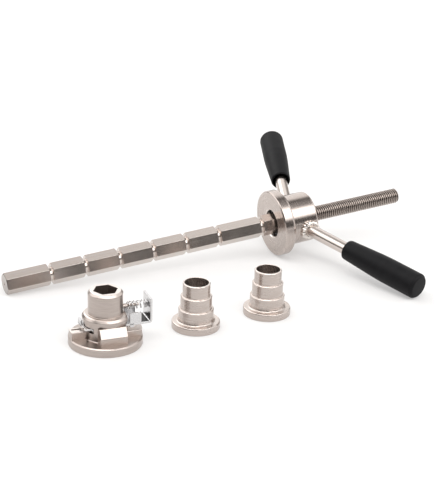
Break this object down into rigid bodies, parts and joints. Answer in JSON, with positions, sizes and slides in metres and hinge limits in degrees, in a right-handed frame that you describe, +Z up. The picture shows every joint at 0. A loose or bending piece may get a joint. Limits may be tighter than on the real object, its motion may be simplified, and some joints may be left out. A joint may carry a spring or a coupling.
{
  "type": "bearing cup press kit",
  "caption": "Screw press for bearing cups: a grooved hexagonal shaft with a screw end, a nut with handle arms, a thrust plate, a quick-release lower plate and stepped cup guides.",
  "frame": {"origin": "bottom centre of the whole set's box, on the floor that the set lies on", "axes": "+X runs along the press from the bare end of its hexagonal shaft to the screw's end, seen from above; +Z is up; the loose lower plate and cup guides lie on the -Y side"},
  "size_m": [0.4398, 0.3338, 0.0807],
  "materials": {
    "nickel_steel": "warm satin nickel plate over fine turning marks",
    "zinc_steel": "bright zinc-plated sheet and wire",
    "bearing_steel": "ground and polished bearing steel",
    "grip_rubber": "matte black dipped rubber with a soft sheen"
  },
  "bodies": {
    "shaft": {"press_shaft": "nickel_steel"},
    "plate": {"thrust_plate": "nickel_steel", "bearing_race_front": "bearing_steel"},
    "ball_set": {"bearing_cage": "zinc_steel", "bearing_ball_01": "bearing_steel", "bearing_ball_02": "bearing_steel", "bearing_ball_03": "bearing_steel", "bearing_ball_04": "bearing_steel", "bearing_ball_05": "bearing_steel", "bearing_ball_06": "bearing_steel", "bearing_ball_07": "bearing_steel", "bearing_ball_08": "bearing_steel", "bearing_ball_09": "bearing_steel", "bearing_ball_10": "bearing_steel", "bearing_ball_11": "bearing_steel", "bearing_ball_12": "bearing_steel"},
    "handle": {"handle_hub": "nickel_steel", "handle_arm_near": "nickel_steel", "handle_arm_far": "nickel_steel", "handle_grip_near": "grip_rubber", "handle_grip_far": "grip_rubber", "bearing_race_rear": "bearing_steel"},
    "lower_plate": {"lower_plate_body": "nickel_steel", "latch_spring_pin": "nickel_steel", "latch_spring": "zinc_steel"},
    "latch": {"latch_plate": "zinc_steel"},
    "guide_a": {"cup_guide_a": "nickel_steel"},
    "guide_b": {"cup_guide_b": "nickel_steel"}
  },
  "joints": [
    {"name": "plate_advance", "type": "slide", "parent": "shaft", "child": "plate", "axis": [0.9967, 0, 0.0806], "range_m": [-0.008, 0.085]},
    {"name": "handle_spin", "type": "hinge", "parent": "plate", "child": "handle", "pos_m": [0.09201, 0.00412, 0.03568], "axis": [0.9967, 0, 0.0806], "range_deg": [-1240, 13200]},
    {"name": "cage_spin", "type": "hinge", "parent": "plate", "child": "ball_set", "pos_m": [0.078, 0.00412, 0.03455], "axis": [0.9967, 0, 0.0806], "range_deg": [-640, 6620]},
    {"name": "lower_plate_lift", "type": "slide", "parent": "shaft", "child": "lower_plate", "axis": [0, 0, 1], "range_m": [0, 0.1]},
    {"name": "latch_release", "type": "slide", "parent": "lower_plate", "child": "latch", "axis": [-0.9976, 0.0698, 0], "range_m": [0, 0.0026], "stiffness_N_per_m": 800, "springref_m": -0.004, "deforming": ["latch_spring"]},
    {"name": "guide_a_lift", "type": "slide", "parent": "shaft", "child": "guide_a", "axis": [0, 0, 1], "range_m": [0, 0.1]},
    {"name": "guide_b_lift", "type": "slide", "parent": "shaft", "child": "guide_b", "axis": [0, 0, 1], "range_m": [0, 0.1]}
  ],
  "couplings": [
    {"joint": "plate_advance", "follows": "handle_spin", "m_per_rad": 0.00036749},
    {"joint": "cage_spin", "follows": "handle_spin", "ratio": 0.5}
  ]
}
